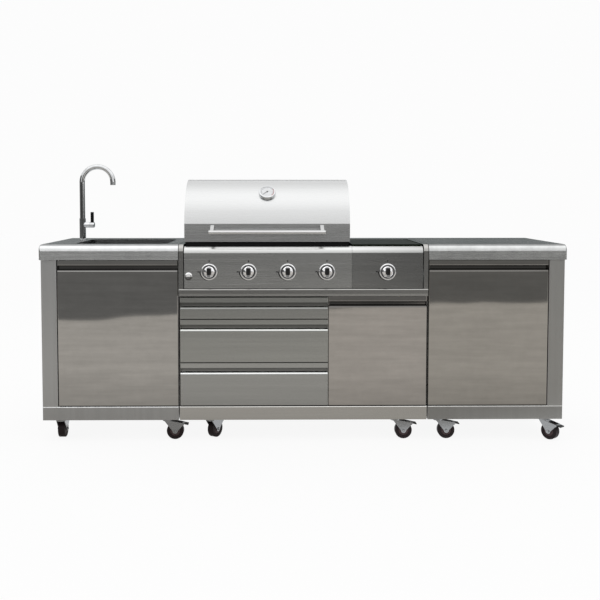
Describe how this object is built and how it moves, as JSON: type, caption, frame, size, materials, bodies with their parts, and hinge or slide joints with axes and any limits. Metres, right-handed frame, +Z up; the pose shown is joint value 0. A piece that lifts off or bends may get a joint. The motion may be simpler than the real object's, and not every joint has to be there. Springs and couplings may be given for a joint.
{
  "type": "barbecue island",
  "caption": "Wheeled stainless steel barbecue island: a gas grill with a hood and a side burner between a sink cabinet with a tap and a worktop cabinet, with drawers and doors below.",
  "frame": {"origin": "middle of the island's box on the floor", "axes": "+X to the right along the island, -Y towards the person cooking, +Z up"},
  "size_m": [2.4, 0.644, 1.2835],
  "materials": {
    "steel": "brushed",
    "dark_enamel": "enamelled",
    "cast_iron": "matte",
    "dark_glass": "polished",
    "brass": "machined",
    "zinc": "zinc plated",
    "chrome": "polished",
    "black_plastic": "gloss",
    "white_plastic": "moulded",
    "wheel_rubber": "matte"
  },
  "bodies": {
    "island": {"burner_boxes": "dark_enamel", "caster_mounts": "zinc", "centre_cabinet": "steel", "control_panels": "steel", "cooking_grates": "cast_iron", "drawer_runners": "zinc", "gas_burners": "steel", "gas_manifold": "brass", "heat_tents": "steel", "left_cabinet": "steel", "left_worktop": "steel", "panel_bezels": "chrome", "right_cabinet": "steel", "right_worktop": "steel", "sink_basin": "steel", "sink_drain": "white_plastic", "tap_body": "chrome"},
    "hood": {"hood": "steel", "hood_handle": "steel", "temperature_gauge": "chrome"},
    "side_burner_lid": {"side_burner_lid": "dark_glass"},
    "left_door": {"left_door": "steel"},
    "centre_door": {"centre_door": "steel"},
    "right_door": {"right_door": "steel"},
    "upper_drawer": {"upper_drawer": "steel"},
    "middle_drawer": {"middle_drawer": "steel"},
    "lower_drawer": {"lower_drawer": "steel"},
    "burner_knob_1": {"burner_knob_1": "chrome"},
    "burner_knob_2": {"burner_knob_2": "chrome"},
    "burner_knob_3": {"burner_knob_3": "chrome"},
    "burner_knob_4": {"burner_knob_4": "chrome"},
    "side_burner_knob": {"side_burner_knob": "chrome"},
    "ignition_button": {"ignition_button": "chrome"},
    "tap_spout": {"tap_spout": "chrome"},
    "tap_lever": {"tap_lever": "black_plastic"},
    "drip_tray": {"drip_tray": "steel"},
    "caster_fork_1": {"caster_fork_1": "zinc"},
    "caster_fork_2": {"caster_fork_2": "zinc"},
    "caster_fork_3": {"caster_fork_3": "zinc"},
    "caster_fork_4": {"caster_fork_4": "zinc"},
    "caster_fork_5": {"caster_fork_5": "zinc"},
    "caster_fork_6": {"caster_fork_6": "zinc"},
    "caster_wheel_1": {"caster_wheel_1": "wheel_rubber"},
    "caster_wheel_2": {"caster_wheel_2": "wheel_rubber"},
    "caster_wheel_3": {"caster_wheel_3": "wheel_rubber"},
    "caster_wheel_4": {"caster_wheel_4": "wheel_rubber"},
    "caster_wheel_5": {"caster_wheel_5": "wheel_rubber"},
    "caster_wheel_6": {"caster_wheel_6": "wheel_rubber"},
    "brake_pedal_1": {"brake_pedal_1": "zinc"},
    "brake_pedal_2": {"brake_pedal_2": "zinc"},
    "brake_pedal_3": {"brake_pedal_3": "zinc"},
    "brake_pedal_4": {"brake_pedal_4": "zinc"},
    "brake_pedal_5": {"brake_pedal_5": "zinc"},
    "brake_pedal_6": {"brake_pedal_6": "zinc"},
    "rear_wheel_1": {"rear_wheel_1": "wheel_rubber"},
    "rear_wheel_2": {"rear_wheel_2": "wheel_rubber"},
    "rear_wheel_3": {"rear_wheel_3": "wheel_rubber"},
    "rear_wheel_4": {"rear_wheel_4": "wheel_rubber"},
    "rear_wheel_5": {"rear_wheel_5": "wheel_rubber"},
    "rear_wheel_6": {"rear_wheel_6": "wheel_rubber"}
  },
  "joints": [
    {"name": "hood_hinge", "type": "hinge", "parent": "island", "child": "hood", "pos_m": [-0.1657, 0.224, 0.925], "axis": [-1, 0, 0], "range_deg": [0, 90]},
    {"name": "side_burner_lid_hinge", "type": "hinge", "parent": "island", "child": "side_burner_lid", "pos_m": [0.3813, 0.193, 0.9], "axis": [-1, 0, 0], "range_deg": [0, 90]},
    {"name": "left_door_hinge", "type": "hinge", "parent": "island", "child": "left_door", "pos_m": [-1.1145, -0.27, 0.498], "axis": [0, 0, -1], "range_deg": [0, 100]},
    {"name": "right_door_hinge", "type": "hinge", "parent": "island", "child": "right_door", "pos_m": [1.1145, -0.27, 0.498], "axis": [0, 0, 1], "range_deg": [0, 100]},
    {"name": "centre_door_hinge", "type": "hinge", "parent": "island", "child": "centre_door", "pos_m": [0.558, -0.27, 0.415], "axis": [0, 0, 1], "range_deg": [0, 90]},
    {"name": "upper_drawer_slide", "type": "slide", "parent": "island", "child": "upper_drawer", "axis": [0, -1, 0], "range_m": [0, 0.4]},
    {"name": "middle_drawer_slide", "type": "slide", "parent": "island", "child": "middle_drawer", "axis": [0, -1, 0], "range_m": [0, 0.4]},
    {"name": "lower_drawer_slide", "type": "slide", "parent": "island", "child": "lower_drawer", "axis": [0, -1, 0], "range_m": [0, 0.4]},
    {"name": "burner_knob_1_turn", "type": "hinge", "parent": "island", "child": "burner_knob_1", "pos_m": [-0.42902, -0.288, 0.781], "axis": [0, -1, 0], "range_deg": [0, 180]},
    {"name": "burner_knob_2_turn", "type": "hinge", "parent": "island", "child": "burner_knob_2", "pos_m": [-0.25081, -0.288, 0.781], "axis": [0, -1, 0], "range_deg": [0, 180]},
    {"name": "burner_knob_3_turn", "type": "hinge", "parent": "island", "child": "burner_knob_3", "pos_m": [-0.07259, -0.288, 0.781], "axis": [0, -1, 0], "range_deg": [0, 180]},
    {"name": "burner_knob_4_turn", "type": "hinge", "parent": "island", "child": "burner_knob_4", "pos_m": [0.10562, -0.288, 0.781], "axis": [0, -1, 0], "range_deg": [0, 180]},
    {"name": "side_burner_knob_turn", "type": "hinge", "parent": "island", "child": "side_burner_knob", "pos_m": [0.3813, -0.288, 0.781], "axis": [0, -1, 0], "range_deg": [0, 180]},
    {"name": "ignition_press", "type": "slide", "parent": "island", "child": "ignition_button", "axis": [0, 1, 0], "range_m": [0, 0.004], "stiffness_N_per_m": 600},
    {"name": "tap_spout_turn", "type": "hinge", "parent": "island", "child": "tap_spout", "pos_m": [-1.092, 0.124, 1.013], "axis": [0, 0, 1], "range_deg": [-110, 110]},
    {"name": "tap_lever_tilt", "type": "hinge", "parent": "island", "child": "tap_lever", "pos_m": [-1.056, 0.124, 0.981], "axis": [1, 0, 0], "range_deg": [0, 80]},
    {"name": "drip_tray_slide", "type": "slide", "parent": "island", "child": "drip_tray", "axis": [0, 1, 0], "range_m": [0, 0.3]},
    {"name": "caster_1_swivel", "type": "hinge", "parent": "island", "child": "caster_fork_1", "pos_m": [-1.122, -0.231, 0.09], "axis": [0, 0, 1], "continuous": true},
    {"name": "caster_2_swivel", "type": "hinge", "parent": "island", "child": "caster_fork_2", "pos_m": [-0.6287, -0.231, 0.09], "axis": [0, 0, 1], "continuous": true},
    {"name": "caster_3_swivel", "type": "hinge", "parent": "island", "child": "caster_fork_3", "pos_m": [-0.43, -0.231, 0.09], "axis": [0, 0, 1], "continuous": true},
    {"name": "caster_4_swivel", "type": "hinge", "parent": "island", "child": "caster_fork_4", "pos_m": [0.43, -0.231, 0.09], "axis": [0, 0, 1], "continuous": true},
    {"name": "caster_5_swivel", "type": "hinge", "parent": "island", "child": "caster_fork_5", "pos_m": [0.6287, -0.231, 0.09], "axis": [0, 0, 1], "continuous": true},
    {"name": "caster_6_swivel", "type": "hinge", "parent": "island", "child": "caster_fork_6", "pos_m": [1.122, -0.231, 0.09], "axis": [0, 0, 1], "continuous": true},
    {"name": "brake_pedal_1_press", "type": "hinge", "parent": "caster_fork_1", "child": "brake_pedal_1", "pos_m": [-1.122, -0.1595, 0.07], "axis": [-1, 0, 0], "range_deg": [0, 18]},
    {"name": "brake_pedal_2_press", "type": "hinge", "parent": "caster_fork_2", "child": "brake_pedal_2", "pos_m": [-0.5572, -0.231, 0.07], "axis": [0, 1, 0], "range_deg": [0, 18]},
    {"name": "brake_pedal_3_press", "type": "hinge", "parent": "caster_fork_3", "child": "brake_pedal_3", "pos_m": [-0.39211, -0.17036, 0.07], "axis": [-0.848, 0.5299, 0], "range_deg": [0, 18]},
    {"name": "brake_pedal_4_press", "type": "hinge", "parent": "caster_fork_4", "child": "brake_pedal_4", "pos_m": [0.5015, -0.231, 0.07], "axis": [0, 1, 0], "range_deg": [0, 18]},
    {"name": "brake_pedal_5_press", "type": "hinge", "parent": "caster_fork_5", "child": "brake_pedal_5", "pos_m": [0.7002, -0.231, 0.07], "axis": [0, 1, 0], "range_deg": [0, 18]},
    {"name": "brake_pedal_6_press", "type": "hinge", "parent": "caster_fork_6", "child": "brake_pedal_6", "pos_m": [1.16891, -0.28496, 0.07], "axis": [0.7547, 0.6561, 0], "range_deg": [0, 18]},
    {"name": "caster_wheel_1_roll", "type": "hinge", "parent": "caster_fork_1", "child": "caster_wheel_1", "pos_m": [-1.122, -0.195, 0.039], "axis": [-1, 0, 0], "continuous": true},
    {"name": "caster_wheel_2_roll", "type": "hinge", "parent": "caster_fork_2", "child": "caster_wheel_2", "pos_m": [-0.5927, -0.231, 0.039], "axis": [0, 1, 0], "continuous": true},
    {"name": "caster_wheel_3_roll", "type": "hinge", "parent": "caster_fork_3", "child": "caster_wheel_3", "pos_m": [-0.41092, -0.20047, 0.039], "axis": [-0.848, 0.5299, 0], "continuous": true},
    {"name": "caster_wheel_4_roll", "type": "hinge", "parent": "caster_fork_4", "child": "caster_wheel_4", "pos_m": [0.466, -0.231, 0.039], "axis": [0, 1, 0], "continuous": true},
    {"name": "caster_wheel_5_roll", "type": "hinge", "parent": "caster_fork_5", "child": "caster_wheel_5", "pos_m": [0.6647, -0.231, 0.039], "axis": [0, 1, 0], "continuous": true},
    {"name": "caster_wheel_6_roll", "type": "hinge", "parent": "caster_fork_6", "child": "caster_wheel_6", "pos_m": [1.14562, -0.25817, 0.039], "axis": [0.7547, 0.6561, 0], "continuous": true},
    {"name": "rear_wheel_1_roll", "type": "hinge", "parent": "island", "child": "rear_wheel_1", "pos_m": [-1.122, 0.242, 0.039], "axis": [1, 0, 0], "continuous": true},
    {"name": "rear_wheel_2_roll", "type": "hinge", "parent": "island", "child": "rear_wheel_2", "pos_m": [-0.6287, 0.242, 0.039], "axis": [1, 0, 0], "continuous": true},
    {"name": "rear_wheel_3_roll", "type": "hinge", "parent": "island", "child": "rear_wheel_3", "pos_m": [-0.43, 0.242, 0.039], "axis": [1, 0, 0], "continuous": true},
    {"name": "rear_wheel_4_roll", "type": "hinge", "parent": "island", "child": "rear_wheel_4", "pos_m": [0.43, 0.242, 0.039], "axis": [1, 0, 0], "continuous": true},
    {"name": "rear_wheel_5_roll", "type": "hinge", "parent": "island", "child": "rear_wheel_5", "pos_m": [0.6287, 0.242, 0.039], "axis": [1, 0, 0], "continuous": true},
    {"name": "rear_wheel_6_roll", "type": "hinge", "parent": "island", "child": "rear_wheel_6", "pos_m": [1.122, 0.242, 0.039], "axis": [1, 0, 0], "continuous": true}
  ]
}
